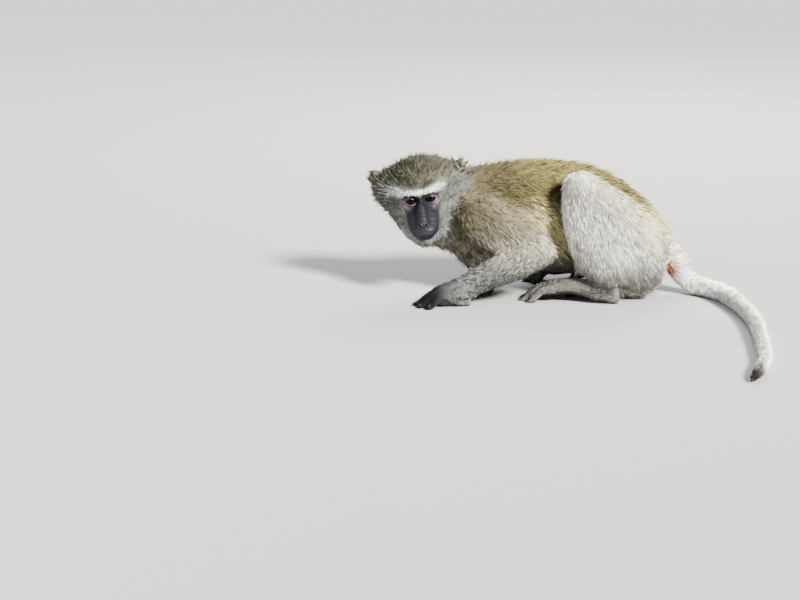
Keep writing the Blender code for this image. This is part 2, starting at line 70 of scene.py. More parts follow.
FINGERS = ((-0.0145, 0.031, -12), (-0.0050, 0.037, -4), (0.0050, 0.036, 5), (0.0140, 0.030, 15))
TOES = ((-0.0140, 0.034, -9), (-0.0045, 0.043, -3), (0.0050, 0.042, 4), (0.0140, 0.034, 12))
TAIL_TURNS = ((0.0, 4.0), (0.12, 30.0), (0.28, 78.0), (0.6, 93.0), (0.8, 94.0), (1.0, 112.0))
TAIL_LENGTH, TAIL_DROP = 0.64, 0.092
TAIL_LAID = 0.012  # height of its middle where it lies
TAIL_ROOT = Vector((0.166, 0.0, 0.070))

HEAD_TURN = (
    Matrix.Rotation(math.radians(HEAD_YAW), 3, "Z")
    @ Matrix.Rotation(math.radians(HEAD_PITCH), 3, "Y")
    @ Matrix.Rotation(math.radians(HEAD_ROLL), 3, "X")
)


def box_middle(node):
    low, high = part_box(node)
    return (Vector(low) + Vector(high)) / 2


EYES = {side: box_middle("eye_" + side) for side in ("left", "right")}
SHIFT = (EYES["left"] + EYES["right"]) / 2 - (
    HEAD_CENTRE + HEAD_TURN @ Vector((EYE_PLACE.x, 0.0, EYE_PLACE.z))
)  # from the animal's own frame to the row's
FLESH = [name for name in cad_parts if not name.startswith("eye_")]

# ---------------------------------------------------------------- the coat, by part of the body
# Depth over the skin, length of a tuft, its half width, tufts per square millimetre, grizzle.
# On the head, depth and length grow away from the face instead, by head_depth.
COAT = {
    "trunk": (0.0085, 0.0220, 0.00035, 1.50, 0.66),
    "neck": (0.0095, 0.0220, 0.00035, 1.50, 0.50),
    "head": (0.0090, 0.0165, 0.00030, 2.70, 0.72),
    "ear": (0.0012, 0.0085, 0.00024, 3.20, 0.45),
    "upper_arm": (0.0070, 0.0175, 0.00033, 1.80, 0.45),
    "forearm": (0.0045, 0.0125, 0.00030, 2.00, 0.40),
    "hand": (0.0009, 0.0048, 0.00025, 2.60, 0.30),
    "thigh": (0.0085, 0.0250, 0.00030, 2.20, 0.07),
    "shank": (0.0060, 0.0185, 0.00030, 2.20, 0.10),
    "foot": (0.0011, 0.0058, 0.00026, 2.40, 0.30),
    "tail": (0.0040, 0.0115, 0.00031, 1.80, 0.18),
}
KINDS = tuple(COAT)
TUFTS_IN_ALL = 350000
TUFTS_A_PIECE = 49000
PATCH = 0.003  # size of a tuft's patch on the unwrapped skin
FLECK = 0.0033  # size of the pale and dark flecks of grizzled hair
LOCK = 0.0065  # size of the locks that tufts lean together in
SWEEP = 0.034  # size of the wider waves in the lie
STRAYS = 0.09  # share of tufts that stand out of the coat
TALLEST = 0.018  # most that a tuft's tip stands over the skin


def srgb(red, green, blue):
    """A linear colour from screen values of 0 to 255."""
    return np.array([((c / 255 + 0.055) / 1.055) ** 2.4 for c in (red, green, blue)])


BACK, FLANK, BELLY = srgb(141, 131, 88), srgb(246, 236, 188), srgb(232, 226, 210)
NAPE, SHOULDERS, BREAST = srgb(86, 81, 62), srgb(138, 132, 110), srgb(196, 190, 170)
CROWN, BROW, CHEEK = srgb(112, 110, 95), srgb(250, 252, 250), srgb(116, 118, 114)
CHIN, TEMPLE = srgb(174, 175, 172), srgb(122, 123, 119)
ARM, FOREARM, KNUCKLES = srgb(216, 212, 198), srgb(138, 140, 137), srgb(36, 35, 38)
THIGH, SHANK = srgb(250, 248, 241), srgb(156, 154, 148)
FOOT, TOE = srgb(132, 129, 123), srgb(138, 135, 131)
TAIL, TAIL_TOP, TAIL_TIP = srgb(254, 252, 247), srgb(236, 231, 220), srgb(62, 60, 60)
FACE, LIDS, NOSE = srgb(34, 33, 39), srgb(136, 116, 126), srgb(26, 24, 30)
EAR, EAR_HAIR = srgb(78, 82, 91), srgb(116, 118, 120)
PALM, RUST, BLUE = srgb(44, 42, 46), srgb(178, 122, 88), srgb(88, 138, 178)
CREASE_HEIGHTS = (0.028, 0.060, 0.111, 0.154)  # where the fur parts on the outer thigh, and where painted shade runs along the parting
CREASE_PLACES = (0.142, 0.1375, 0.127, 0.116)
FACE_HEIGHTS = (-0.050, -0.042, -0.030, -0.012, 0.004, 0.020)
FACE_WIDTHS = (0.011, 0.0175, 0.0225, 0.0240, 0.0268, 0.0235)  # of half the bare face
MOUTH, NOSTRIL = -0.0375, Vector((0.0, 0.0047, -0.0208))
RUST_PLACE, RUST_SIZE = (0.182, -0.008, 0.040), (0.0095, 0.017, 0.018)  # under the tail's root
BLUE_PLACE, BLUE_SIZE = (0.116, -0.022, 0.016), (0.013, 0.013, 0.012)  # between the thighs


# ---------------------------------------------------------------- helpers
def smoothstep(low, high, value):
    t = np.clip((value - low) / (high - low), 0.0, 1.0)
    return t * t * (3 - 2 * t)


def mix(a, b, t):
    """From a to b by t, row by row where t has a value for each row."""
    return a + (b - a) * (t[:, None] if np.ndim(t) else t)


def hump(value, centre, width):
    """1 at the centre, falling off smoothly over the width."""
    return np.exp(-(((value - centre) / width) ** 2))


def oval(across, along, wide, tall):
    """1 in the middle of an oval, falling off smoothly over its two half widths."""
    return np.exp(-((across / wide) ** 2) - (along / tall) ** 2)


def inside(p, place, size, far, near):
    """1 inside an egg-shaped place and 0 outside it."""
    return smoothstep(far, near, np.linalg.norm((p - place) / size, axis=1))


def unit(rows):
    return rows / np.maximum(np.linalg.norm(rows, axis=1, keepdims=True), 1e-9)


def ramp(table, t):
    return float(np.interp(t, [a for a, _ in table], [b for _, b in table]))


def own(points):
    """Row places as places in the animal's own frame."""
    return points - np.array(SHIFT)


def in_head(points):
    """Own places as places in the head."""
    return (points - np.array(HEAD_CENTRE)) @ np.array(HEAD_TURN)


def out_of_head(places):
    """Places in the head as own places."""
    return places @ np.array(HEAD_TURN).T + np.array(HEAD_CENTRE)


def new_object(name, mesh):
    obj = bpy.data.objects.new(name, mesh)
    scene.collection.objects.link(obj)
    return obj


def with_modifier(obj, kind, **settings):
    """Adds a modifier, applies it and returns the object."""
    made = obj.modifiers.new(kind.lower(), kind)
    for key, value in settings.items():
        setattr(made, key, value)
    bpy.context.view_layer.update()
    final = obj.evaluated_get(bpy.context.evaluated_depsgraph_get())
    mesh = bpy.data.meshes.new_from_object(final)
    obj.modifiers.clear()
    obj.data = mesh
    return obj


def places_of(mesh):
    rows = np.empty(len(mesh.vertices) * 3)
    mesh.vertices.foreach_get("co", rows)
    return rows.reshape(-1, 3)


def set_places(mesh, rows):
    mesh.vertices.foreach_set("co", np.ascontiguousarray(rows).ravel())
    mesh.update()


def normals_of(mesh):
    rows = np.empty(len(mesh.vertices) * 3)
    mesh.vertex_normals.foreach_get("vector", rows)
    return rows.reshape(-1, 3)


def edges_of(mesh):
    rows = np.empty(len(mesh.edges) * 2, dtype=np.int64)
    mesh.edges.foreach_get("vertices", rows)
    return rows.reshape(-1, 2)


def spread(values, edges, rounds, keep=0.5):
    """Evens values out over a mesh: each corner keeps a share and takes the rest from the mean
    of its neighbours."""
    values = values.reshape(len(values), -1).copy()
    a, b = edges[:, 0], edges[:, 1]
    count = len(values)
    links = np.maximum(np.bincount(a, minlength=count) + np.bincount(b, minlength=count), 1)
    hold = np.broadcast_to(np.asarray(keep, dtype=float), (count,))
    for _ in range(rounds):
        for k in range(values.shape[1]):
            column = values[:, k]
            total = np.bincount(a, column[b], count) + np.bincount(b, column[a], count)
            values[:, k] = hold * column + (1 - hold) * total / links
    return values


# ---------------------------------------------------------------- what grows where
def build_lookup():
    """A tree of all the flesh solids' faces, and for each face its node's index in FLESH."""
    corners, faces, owners = [], [], []
    for index, name in enumerate(FLESH):
        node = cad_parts[name]
        start = len(corners)
        corners += [node.matrix_world @ v.co for v in node.data.vertices]
        faces += [[start + i for i in p.vertices] for p in node.data.polygons]
        owners += [index] * len(node.data.polygons)
    return BVHTree.FromPolygons(corners, faces), owners


def kind_of(name):
    return next(kind for kind in KINDS if name.startswith(kind))


def on_kinds(labels, *kinds):
    """Whether each place's node is of one of the kinds."""
    return np.array([kind_of(name) in kinds for name in FLESH])[labels]


def nodes_at(points, lookup):
    """For each place, the index in FLESH of the nearest solid."""
    tree, owners = lookup
    return np.array([owners[tree.find_nearest(Vector(p))[2]] for p in points])


def tail_line():
    """Points along the middle of the tail, from its root, as it drops and then lies bent."""
    step, place, line = 0.005, TAIL_ROOT.copy(), []
    for k in range(round(TAIL_LENGTH / step) + 1):
        t = k * step / TAIL_LENGTH
        fall = min(k * step / TAIL_DROP, 1.0)
        height = TAIL_ROOT.z + (TAIL_LAID - TAIL_ROOT.z) * fall * fall * (3 - 2 * fall)
        run = math.sqrt(max(step**2 - (height - place.z) ** 2, 0.0)) if k else 0.0
        turn = math.radians(ramp(TAIL_TURNS, t))
        place = Vector((place.x + run * math.cos(turn), place.y - run * math.sin(turn), height))
        line.append(place.copy())
    return np.array(line)


TAIL_LINE = tail_line()


def along_tail(points):
    """How far along the tail each place is, from 0 to 1, and the tail's heading there."""
    nearest = np.array([np.argmin(((TAIL_LINE - p) ** 2).sum(axis=1)) for p in points])
    ahead = TAIL_LINE[np.minimum(nearest + 1, len(TAIL_LINE) - 1)]
    behind = TAIL_LINE[np.maximum(nearest - 1, 0)]
    return nearest / (len(TAIL_LINE) - 1), unit(ahead - behind)


def heading(degrees):
    """The way a hand or foot points, and the level way across it."""
    angle = math.radians(degrees)
    forward = Vector((-math.cos(angle), -math.sin(angle), 0.0))
    return forward, Vector((math.sin(angle), -math.cos(angle), 0.0))


def bare_face(h):
    """1 on the naked skin of the face and 0 in the coat, from places in the head."""
    forward, side, up = h[:, 0], np.abs(h[:, 1]), h[:, 2]
    wide = np.interp(up, FACE_HEIGHTS, FACE_WIDTHS)
    top = 0.0165 + 0.0030 * smoothstep(0.002, 0.014, side) - 0.0035 * smoothstep(0.016, 0.026, side)
    bottom = -0.0430 + 0.0045 * smoothstep(0.004, 0.016, side)
    edge = smoothstep(0.0050, -0.0056, side - wide)
    edge = edge * smoothstep(0.0022, -0.0022, up - top) * smoothstep(-0.0024, 0.0024, up - bottom)
    return edge * smoothstep(0.006, 0.012, forward)


def head_flow(h):
    """The lie of the hair on the head: it spreads from the face, and runs back over the crown."""
    side, up = h[:, 1], h[:, 2] + 0.004
    reach = np.maximum(np.hypot(side, up), 0.004)
    flow = np.stack([-0.80 * np.ones(len(h)), side / reach, up / reach], axis=1)
    nape = np.array(HEAD_TURN.transposed() @ Vector((0.75, 0.05, -0.65)))
    return unit(mix(flow, nape, smoothstep(-0.012, -0.045, h[:, 0])))


def head_depth(h):
    """The coat's depth on the head, which grows away from the bare face."""
    forward, side, up = h[:, 0], np.abs(h[:, 1]), h[:, 2]
    ring = np.hypot(side / 0.031, (up + 0.011) / 0.034)
    grown = smoothstep(0.80, 1.75, ring) * 0.0086 + 0.0004
    chin = smoothstep(-0.038, -0.050, up) * smoothstep(0.0, 0.02, forward)
    depth = grown * (1 - chin) + 0.0050 * chin
    back = smoothstep(0.012, -0.005, forward)
    return depth * (1 - back) + 0.0095 * back


def head_colour(h):
    """Olive crown, grey temples and cheeks, a white band over the brow and a pale chin."""
    forward, side, up = h[:, 0], np.abs(h[:, 1]), h[:, 2]
    right = h[:, 1] < 0
    colour = mix(CHEEK, CROWN, smoothstep(0.016, 0.023, up))
    colour = mix(colour, CROWN, 0.75 * smoothstep(0.000, -0.030, forward))
    grey = smoothstep(0.030, 0.046, side) * smoothstep(0.036, 0.020, up)
    grey = grey * smoothstep(-0.020, 0.000, up)
    colour = mix(colour, TEMPLE, 0.85 * grey * smoothstep(-0.034, -0.010, forward))
    left_ear = 0.80 * smoothstep(0.048, 0.062, h[:, 1]) * smoothstep(0.000, 0.020, up)
    colour = mix(colour, SHOULDERS, left_ear)
    low = smoothstep(-0.022, -0.046, up) * smoothstep(-0.020, 0.004, forward)
    colour = mix(colour, CHIN, low)
    # the brow band: the height of its middle, its half height, and where it ends at the side
    arch = 0.0178 + 0.0026 * smoothstep(0.004, 0.020, side)
    arch = arch - 0.0045 * smoothstep(0.026, 0.046, side)
    arch = arch - 0.0010 * right * smoothstep(0.010, 0.022, side)
    tall = 0.0031 + 0.0012 * smoothstep(0.016, 0.034, side) + 0.0008 * right
    end = np.where(h[:, 1] > 0, 0.029, 0.037)
    band = hump(up, arch, tall) * smoothstep(0.006, -0.006, side - end)
    colour = mix(colour, BROW, np.clip(1.35 * band * smoothstep(0.0, 0.014, forward), 0.0, 1.0))
    ruff = hump(side, 0.030, 0.006) * smoothstep(0.004, -0.012, up)
    colour = mix(colour, BROW, 0.10 * ruff * smoothstep(-0.01, 0.015, forward))
    return mix(colour, TEMPLE, 0.75 * smoothstep(0.05, 0.55, bare_face(h)) * (1 - band))


def trunk_colour(p, n):
    """Olive back and straw flanks, greyer to the front, with a pale belly, seat and tail root."""
    x, z = p[:, 0], p[:, 2]
    high = z + 0.02 * n[:, 2] + 0.10 * np.clip(x - 0.12, 0, 1)
    colour = mix(FLANK, BACK, smoothstep(0.120, 0.166, high))
    front = mix(SHOULDERS, NAPE, smoothstep(0.118, 0.150, z))
    colour = mix(colour, front, 0.85 * smoothstep(0.010, -0.065, x))
    colour = mix(colour, BREAST, smoothstep(-0.030, -0.070, x) * smoothstep(0.115, 0.080, z))
    colour = mix(colour, TAIL, smoothstep(0.150, 0.192, x) * 0.8)
    colour = mix(colour, BELLY, smoothstep(0.084, 0.050, z) * smoothstep(0.3, -0.4, n[:, 2]))
    colour = mix(colour, BELLY, smoothstep(0.105, 0.130, x) * smoothstep(0.045, 0.020, z) * 0.8)
    colour = mix(colour, RUST, inside(p, RUST_PLACE, RUST_SIZE, 1.15, 0.75))
    return mix(colour, BLUE, inside(p, BLUE_PLACE, BLUE_SIZE, 1.2, 0.8))


def tail_colour(p, n, t):
    """White with a greyer top, a dark tip and rust under the root, t along the tail."""
    colour = mix(TAIL, TAIL_TOP, 0.75 * smoothstep(0.25, 0.85, n[:, 2]))
    colour = mix(colour, TAIL_TIP, smoothstep(0.90, 0.96, t))
    return mix(colour, RUST, inside(p, RUST_PLACE, RUST_SIZE, 1.15, 0.75))


def leg_colour(kind, q):
    """White, straw along the back edge and grey on the shin and at the foot, with the fur's
    parting on the outer side, painted shade along that parting and painted shade low on the
    thigh.  Also how deep the parting is, from 0 to 1."""
    x, z = q[:, 0], q[:, 2]
    to_back = (x - 0.075) * 0.69 + (z - 0.190) * 0.72
    shade = mix(THIGH, FLANK, 0.75 * smoothstep(-0.034, -0.002, to_back))
    if kind == "shank":
        lower = smoothstep(0.080, 0.030, z)
    else:
        # painted shade: the lower thigh and seat grey towards the floor
        lower = 0.9 * smoothstep(0.078, 0.034, z)
    shin = smoothstep(0.105, 0.060, z) * smoothstep(0.100, 0.074, x)
    lower = np.maximum(lower, 0.85 * shin)
    # the parting, where the tufts lie lower; its darkening is painted shade in the crease
    line = np.interp(z, CREASE_HEIGHTS, CREASE_PLACES)
    crease = hump(x, line, 0.0065) * smoothstep(0.045, 0.055, np.abs(q[:, 1]))
    crease *= smoothstep(0.168, 0.140, z) * smoothstep(0.012, 0.030, z)
    shade = mix(shade, SHANK, 0.45 * smoothstep(0.125, 0.165, z))
    return mix(shade, SHANK, np.maximum(lower, 0.80 * crease)), crease


def grow(points, normals, labels):
    """What the body wears at each place: sizes, bareness, colour and lie.  The sizes are the five
    of COAT and a factor on the height of the tufts.  Each is evened out later."""
    p = own(points)
    h = in_head(p)
    count = len(p)
    sizes, bare = np.ones((count, 6)), np.zeros(count)
    colour, flow = np.zeros((count, 3)), np.zeros((count, 3))
    for index, name in enumerate(FLESH):
        here = labels == index
        if not here.any():
            continue
        kind, side = kind_of(name), "left" if name.endswith("left") else "right"
        q, n, g = p[here], normals[here], h[here]
        sizes[here, :5] = COAT[kind]
        if kind == "head":
            bare[here] = bare_face(g)
            depth = head_depth(g)
            deep = smoothstep(0.002, 0.008, depth)
            cheek = smoothstep(0.012, 0.000, g[:, 2]) * smoothstep(-0.01, 0.01, g[:, 0])
            sizes[here, 0] = depth
            sizes[here, 1] = 0.0042 + 1.30 * depth
            sizes[here, 2] *= 0.70 + 0.30 * deep
            sizes[here, 3] *= 1.35 - 0.35 * deep
            sizes[here, 4] *= 1 - 0.10 * cheek
            ruff = smoothstep(0.036, 0.050, np.abs(g[:, 1])) * smoothstep(-0.024, 0.000, g[:, 2])
            sizes[here, 1] += 0.0080 * ruff
            sizes[here, 5] = 1 + 0.80 * ruff
            colour[here], flow[here] = head_colour(g), head_flow(g) @ np.array(HEAD_TURN).T
        elif kind == "ear":
            bare[here] = 0.15
            way = 1 if side == "left" else -1
            colour[here] = EAR_HAIR
            flow[here] = np.array(HEAD_TURN @ Vector((-0.7, 0.6 * way, 0.45)))
        elif kind == "neck":
            upper = mix(NAPE, SHOULDERS, smoothstep(0.150, 0.110, q[:, 2]))
            colour[here] = mix(upper, BREAST, smoothstep(0.110, 0.075, q[:, 2]))
            flow[here] = (1.0, 0.0, -0.40)
        elif kind == "trunk":
            colour[here], flow[here] = trunk_colour(q, n), (1.0, 0.0, -0.50)
            low = smoothstep(0.135, 0.095, q[:, 2])
            sizes[here, 4] *= 1 - 0.70 * low * smoothstep(-0.070, -0.020, q[:, 0])
        elif kind == "upper_arm":
            colour[here] = mix(ARM, SHOULDERS, smoothstep(0.068, 0.118, q[:, 2]))
            way = (ELBOW[side] - SHOULDER[side]).normalized()
            flow[here] = way + Vector((0, 0, -0.35))
        elif kind == "forearm":
            colour[here] = mix(ARM, FOREARM, smoothstep(0.084, 0.040, q[:, 2]))
            flow[here] = (WRIST[side] - ELBOW[side]).normalized() + Vector((0, 0, -0.25))
        elif kind in ("hand", "foot"):
            joint, turn = (WRIST, HAND_HEADING) if kind == "hand" else (ANKLE, FOOT_HEADING)
            facing = heading(turn[side])[0]
            past = (q - np.array(joint[side])) @ np.array(facing)
            if kind == "hand":
                colour[here] = mix(FOREARM, KNUCKLES, smoothstep(0.006, 0.054, past))
                long_coat = np.array(COAT["forearm"])
            else:
                colour[here] = mix(FOOT, TOE, smoothstep(0.060, 0.110, past))
                long_coat = np.array(COAT["forearm"]) * (1, 1.1, 1, 1, 0.5)
            short = smoothstep(-0.004, 0.036, past)
            sizes[here, :5] = mix(long_coat, np.array(COAT[kind]), short)
            flow[here] = facing
            bare[here] = smoothstep(-0.10, -0.45, n[:, 2]) * smoothstep(0.022, 0.016, q[:, 2])
        elif kind in ("thigh", "shank"):
            colour[here], crease = leg_colour(kind, q)
            sizes[here, 5] = 1 - 0.55 * crease
            flow[here] = (0.30, 0.0, -1.0) if kind == "thigh" else (0.10, 0.0, -1.0)
        else:
            t, flow[here] = along_tail(q)
            colour[here] = tail_colour(q, n, t)
    return sizes, bare, colour, flow


# ---------------------------------------------------------------- skin
VOXEL = 0.0019
FUSE = 0.0005  # how far the solids are grown so that they join
BULGE = 0.0007  # how far the flesh first stands out over the eyeballs
LID = 0.0006  # thickness of a lid over the eyeball
LID_BEHIND = 0.0014  # how far the skin sinks into the eyeball inside the opening
SKIN_KEPT = 0.27  # share of the faces left after thinning out
FLOOR_GAP = 0.0002


def fused_flesh():
    """One closed mesh over all the flesh, with the eyes' bulges."""
    form = bmesh.new()
    for name in FLESH:
        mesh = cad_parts[name].data.copy()
        mesh.transform(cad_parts[name].matrix_world)
        part = bmesh.new()
        part.from_mesh(mesh)
        bmesh.ops.remove_doubles(part, verts=part.verts, dist=1e-6)
        part.normal_update()
        for vert in part.verts:
            vert.co += vert.normal * FUSE
        part.to_mesh(mesh)
        part.free()
        form.from_mesh(mesh)
        bpy.data.meshes.remove(mesh)
    for eye in EYES.values():
        place = Matrix.Translation(eye)
        bmesh.ops.create_uvsphere(
            form, u_segments=32, v_segments=20, radius=EYE_RADIUS + BULGE, matrix=place
        )
    mesh = bpy.data.meshes.new("skin")
    form.to_mesh(mesh)
    form.free()
    skin = new_object("skin", mesh)
    return with_modifier(skin, "REMESH", mode="VOXEL", voxel_size=VOXEL)


def refine(skin, wanted, rounds=1):
    """Halves the edges of which wanted(head places) accepts both ends."""
    for _ in range(rounds):
        form = bmesh.new()
        form.from_mesh(skin.data)
        bmesh.ops.triangulate(form, faces=form.faces)
        form.verts.ensure_lookup_table()
        chosen = wanted(in_head(own(np.array([v.co for v in form.verts]))))
        edges = [e for e in form.edges if chosen[e.verts[0].index] and chosen[e.verts[1].index]]
        bmesh.ops.subdivide_edges(form, edges=edges, cuts=1)
        bmesh.ops.triangulate(form, faces=[f for f in form.faces if len(f.verts) > 3])
        form.to_mesh(skin.data)
        form.free()


def almond(side, up, half_width=0.0075, above=0.0047, below=0.0038):
    """Distance outside an eye's almond opening, from places across it."""
    edges = []
    for height, way in ((above, 1), (below, -1)):
        radius = (half_width**2 + height**2) / (2 * height)
        edges.append(np.hypot(side, up - way * (height - radius)) - radius)
    return np.maximum(*edges)


def shape_lids(h, eye):
    """Lids: the skin lies over the eyeball outside the opening, and sinks behind it inside.  It
    moves forward or back only, so that it has no folds."""
    away = h - np.array(eye)
    outer = 1 if eye[1] > 0 else -1
    tilt = math.radians(4.0) * outer  # the outer corner is the higher one
    side = away[:, 1] * math.cos(tilt) + away[:, 2] * math.sin(tilt)
    up = away[:, 2] * math.cos(tilt) - away[:, 1] * math.sin(tilt)
    gap = almond(side, up)
    near = (away[:, 0] > -0.004) & (np.linalg.norm(away, axis=1) < 0.022) & (gap < 0.008)
    over = EYE_RADIUS + LID + 0.0003 * hump(gap, 0.0009, 0.0007)  # with a thicker edge
    over -= 0.0004 * hump(gap, 0.0032, 0.0008)  # and a fold round it
    over = np.where(gap < 0.0001, EYE_RADIUS - LID_BEHIND, over)
    reach = np.hypot(side, up)
    turn = 0.76 * over  # past this the lid runs on straight to the face
    height = np.sqrt(over**2 - np.minimum(reach, turn) ** 2)
    height = height - 0.95 * np.maximum(reach - turn, 0.0)
    blend = smoothstep(0.0020, 0.0074, gap)
    moved = eye[0] + height * (1 - blend) + away[:, 0] * blend
    h[near, 0] = moved[near]
    return h


def shape_face(h, n):
    """Nostrils, lips, folds and wrinkles, in head places."""
    side, up, forward = h[:, 1], h[:, 2], h[:, 0]
    push = np.zeros(len(h))
    front = smoothstep(0.020, 0.030, forward) * smoothstep(0.030, 0.024, np.abs(side))
    lips = MOUTH + 0.06 * np.clip(0.058 - forward, 0, 1) + 0.0010 * np.cos(side / 0.006)
    push -= 0.0013 * hump(up, lips, 0.0008) * front
    push += 0.0007 * hump(np.abs(up - lips), 0.0026, 0.0014) * front
    for way in (-1, 1):
        across, height = side - way * NOSTRIL.y, up - NOSTRIL.z
        turn = way * math.radians(35)
        u = across * math.cos(turn) - height * math.sin(turn)
        v = across * math.sin(turn) + height * math.cos(turn)
        tip = smoothstep(0.050, 0.058, forward)
        push -= 0.0024 * oval(u, v, 0.0010, 0.0020) * tip
        push += 0.0006 * hump(np.hypot(u * 1.3, v), 0.0038, 0.0013) * tip
    gap = almond(np.abs(side) - EYE_PLACE.y, up - EYE_PLACE.z)
    above = smoothstep(-0.002, 0.006, up - EYE_PLACE.z)
    outside = smoothstep(0.003, 0.010, np.abs(side) - EYE_PLACE.y)
    rim = hump(gap, 0.0072, 0.0030) * (0.0006 + 0.0016 * np.maximum(above, 0.7 * outside))
    fold = np.sin((up + 0.35 * np.abs(side)) / 0.00085)
    low, high = smoothstep(-0.034, -0.028, up), smoothstep(-0.002, -0.008, up)
    push += 0.00016 * fold * front * high * low
    moved = h + (n @ np.array(HEAD_TURN)) * push[:, None]
    moved[:, 0] += rim * smoothstep(0.004, 0.016, forward)
    return moved


def sink_by_coat(skin, lookup):
    """Smooths the joined flesh and lays it inside the solids by the depth of the coat.  Gives
    back how fine the form is at each corner: 1 on the face, ears, hands and feet."""
    mesh = skin.data
    places, edges = places_of(mesh), edges_of(mesh)
    labels = nodes_at(places, lookup)
    h = in_head(own(places))
    fine = on_kinds(labels, "hand", "foot", "ear").astype(float)
    face = smoothstep(0.000, 0.012, h[:, 0]) * on_kinds(labels, "head")
    fine = spread(np.maximum(fine, face), edges, 3)[:, 0]
    places = spread(places, edges, 3)
    places = spread(places, edges, 22, keep=1 - 0.6 * (1 - fine))
    set_places(mesh, places)
    sizes, bare, _, _ = grow(places, normals_of(mesh), labels)
    depth = spread(sizes[:, 0] * (1 - bare), edges, 8)[:, 0]
    set_places(mesh, places - normals_of(mesh) * depth[:, None])
    set_places(mesh, spread(places_of(mesh), edges, 4, keep=1 - 0.5 * (1 - fine)))
    return fine


def thin_out(skin, fine):
    """Takes faces out where the form is plain."""
    group = skin.vertex_groups.new(name="plain")
    for index, value in enumerate(1 - 0.92 * fine):
        group.add([index], float(value), "REPLACE")
    with_modifier(
        skin, "DECIMATE", ratio=SKIN_KEPT, vertex_group="plain", use_collapse_triangulate=True
    )
    skin.vertex_groups.clear()


def on_face(h):
    forward, side, up = h[:, 0], np.abs(h[:, 1]), h[:, 2]
    return (forward > 0.016) & (side < 0.028) & (up > -0.052) & (up < 0.024)


def near_eye_nose_or_lips(h):
    forward, side, up = h[:, 0], np.abs(h[:, 1]), h[:, 2]
    to_eye = np.linalg.norm(np.stack([forward, side, up], axis=1) - np.array(EYE_PLACE), axis=1)
    nose = (forward > 0.050) & (side < 0.011) & (up > -0.030) & (up < -0.013)
    lips = (forward > 0.034) & (side < 0.024) & (np.abs(up - MOUTH - 0.0005) < 0.0030)
    return ((to_eye < 0.0130) & (forward > 0.026)) | nose | lips


def carve_head(skin):
    """Shapes the face and the lids in the head's finer mesh."""
    mesh = skin.data
    edges = edges_of(mesh)
    h = in_head(own(places_of(mesh)))
    front = smoothstep(0.010, 0.020, h[:, 0]) * (np.linalg.norm(h, axis=1) < 0.09)
    set_places(mesh, spread(places_of(mesh), edges, 6, keep=1 - 0.5 * front))
    n = normals_of(mesh)
    h = in_head(own(places_of(mesh)))
    near = (np.linalg.norm(h, axis=1) < 0.09) & (h[:, 0] > 0.0)
    h = np.where(near[:, None], shape_face(h, n), h)
    for way in (1, -1):
        eye_place = (EYE_PLACE.x - EYE_SINK, way * EYE_PLACE.y, EYE_PLACE.z)
        h = shape_lids(h, eye_place)
        gap = almond(h[:, 1] - eye_place[1], h[:, 2] - eye_place[2])
        edge = (gap > 0.0016) & (gap < 0.0110) & (h[:, 0] > 0.016) & near
        h = spread(h, edges, 8, keep=np.where(edge, 0.5, 1.0))
    moved = out_of_head(h) + np.array(SHIFT)
    set_places(mesh, np.where(near[:, None], moved, places_of(mesh)))


def make_skin(lookup):
    skin = fused_flesh()
    thin_out(skin, sink_by_coat(skin, lookup))
    refine(skin, on_face)
    refine(skin, near_eye_nose_or_lips, 2)
    carve_head(skin)
    places = places_of(skin.data)
    places[:, 2] = np.maximum(places[:, 2], FLOOR_GAP)
    set_places(skin.data, places)
    skin.data.shade_smooth()
    return skin


def unwrap(skin):
    """Lays the skin's own shape out flat, in a map that the tufts share."""
    skin.data.uv_layers.new(name="OFBake")
    bpy.context.view_layer.objects.active = skin
    skin.select_set(True)
    bpy.ops.object.mode_set(mode="EDIT")
    bpy.ops.mesh.select_all(action="SELECT")
    bpy.ops.uv.smart_project(angle_limit=math.radians(72), island_margin=0.001)
    bpy.ops.object.mode_set(mode="OBJECT")


def face_tint(h):
    """The bare face's own markings, pink lids and dark nose and lips over the dark skin, with
    painted shade down the nose bridge.
    """
    forward, side, up = h[:, 0], np.abs(h[:, 1]), h[:, 2]
    gap = almond(side - EYE_PLACE.y, up - EYE_PLACE.z)
    ring = smoothstep(0.0036, 0.0012, gap) * smoothstep(0.018, 0.026, forward)
    under = smoothstep(0.0005, -0.0040, up - EYE_PLACE.z - 0.25 * (side - EYE_PLACE.y))
    tint = mix(FACE, LIDS, ring * (0.06 + 0.80 * under))
    corner = oval(side - EYE_PLACE.y - 0.0085, up - EYE_PLACE.z + 0.004, 0.0050, 0.0070)
    tint = mix(tint, LIDS, 0.42 * corner)
    tint = mix(tint, 0.5 * NOSE, 0.9 * smoothstep(0.0010, 0.0002, gap))
    # painted shade: a dark strip down the nose bridge
    bridge = hump(side, 0.0, 0.0062) * smoothstep(0.010, -0.004, up)
    bridge = bridge * smoothstep(-0.030, -0.018, up)
    tint = mix(tint, NOSE, 0.6 * bridge)
    lips = MOUTH + 0.06 * np.clip(0.058 - forward, 0, 1)
    tint = mix(tint, NOSE, 0.75 * hump(up, lips, 0.0011))
    nostril = oval(side - NOSTRIL.y, up - NOSTRIL.z, 0.0024, 0.0026)
    return mix(tint, 0.4 * NOSE, 0.8 * nostril * smoothstep(0.050, 0.058, forward))


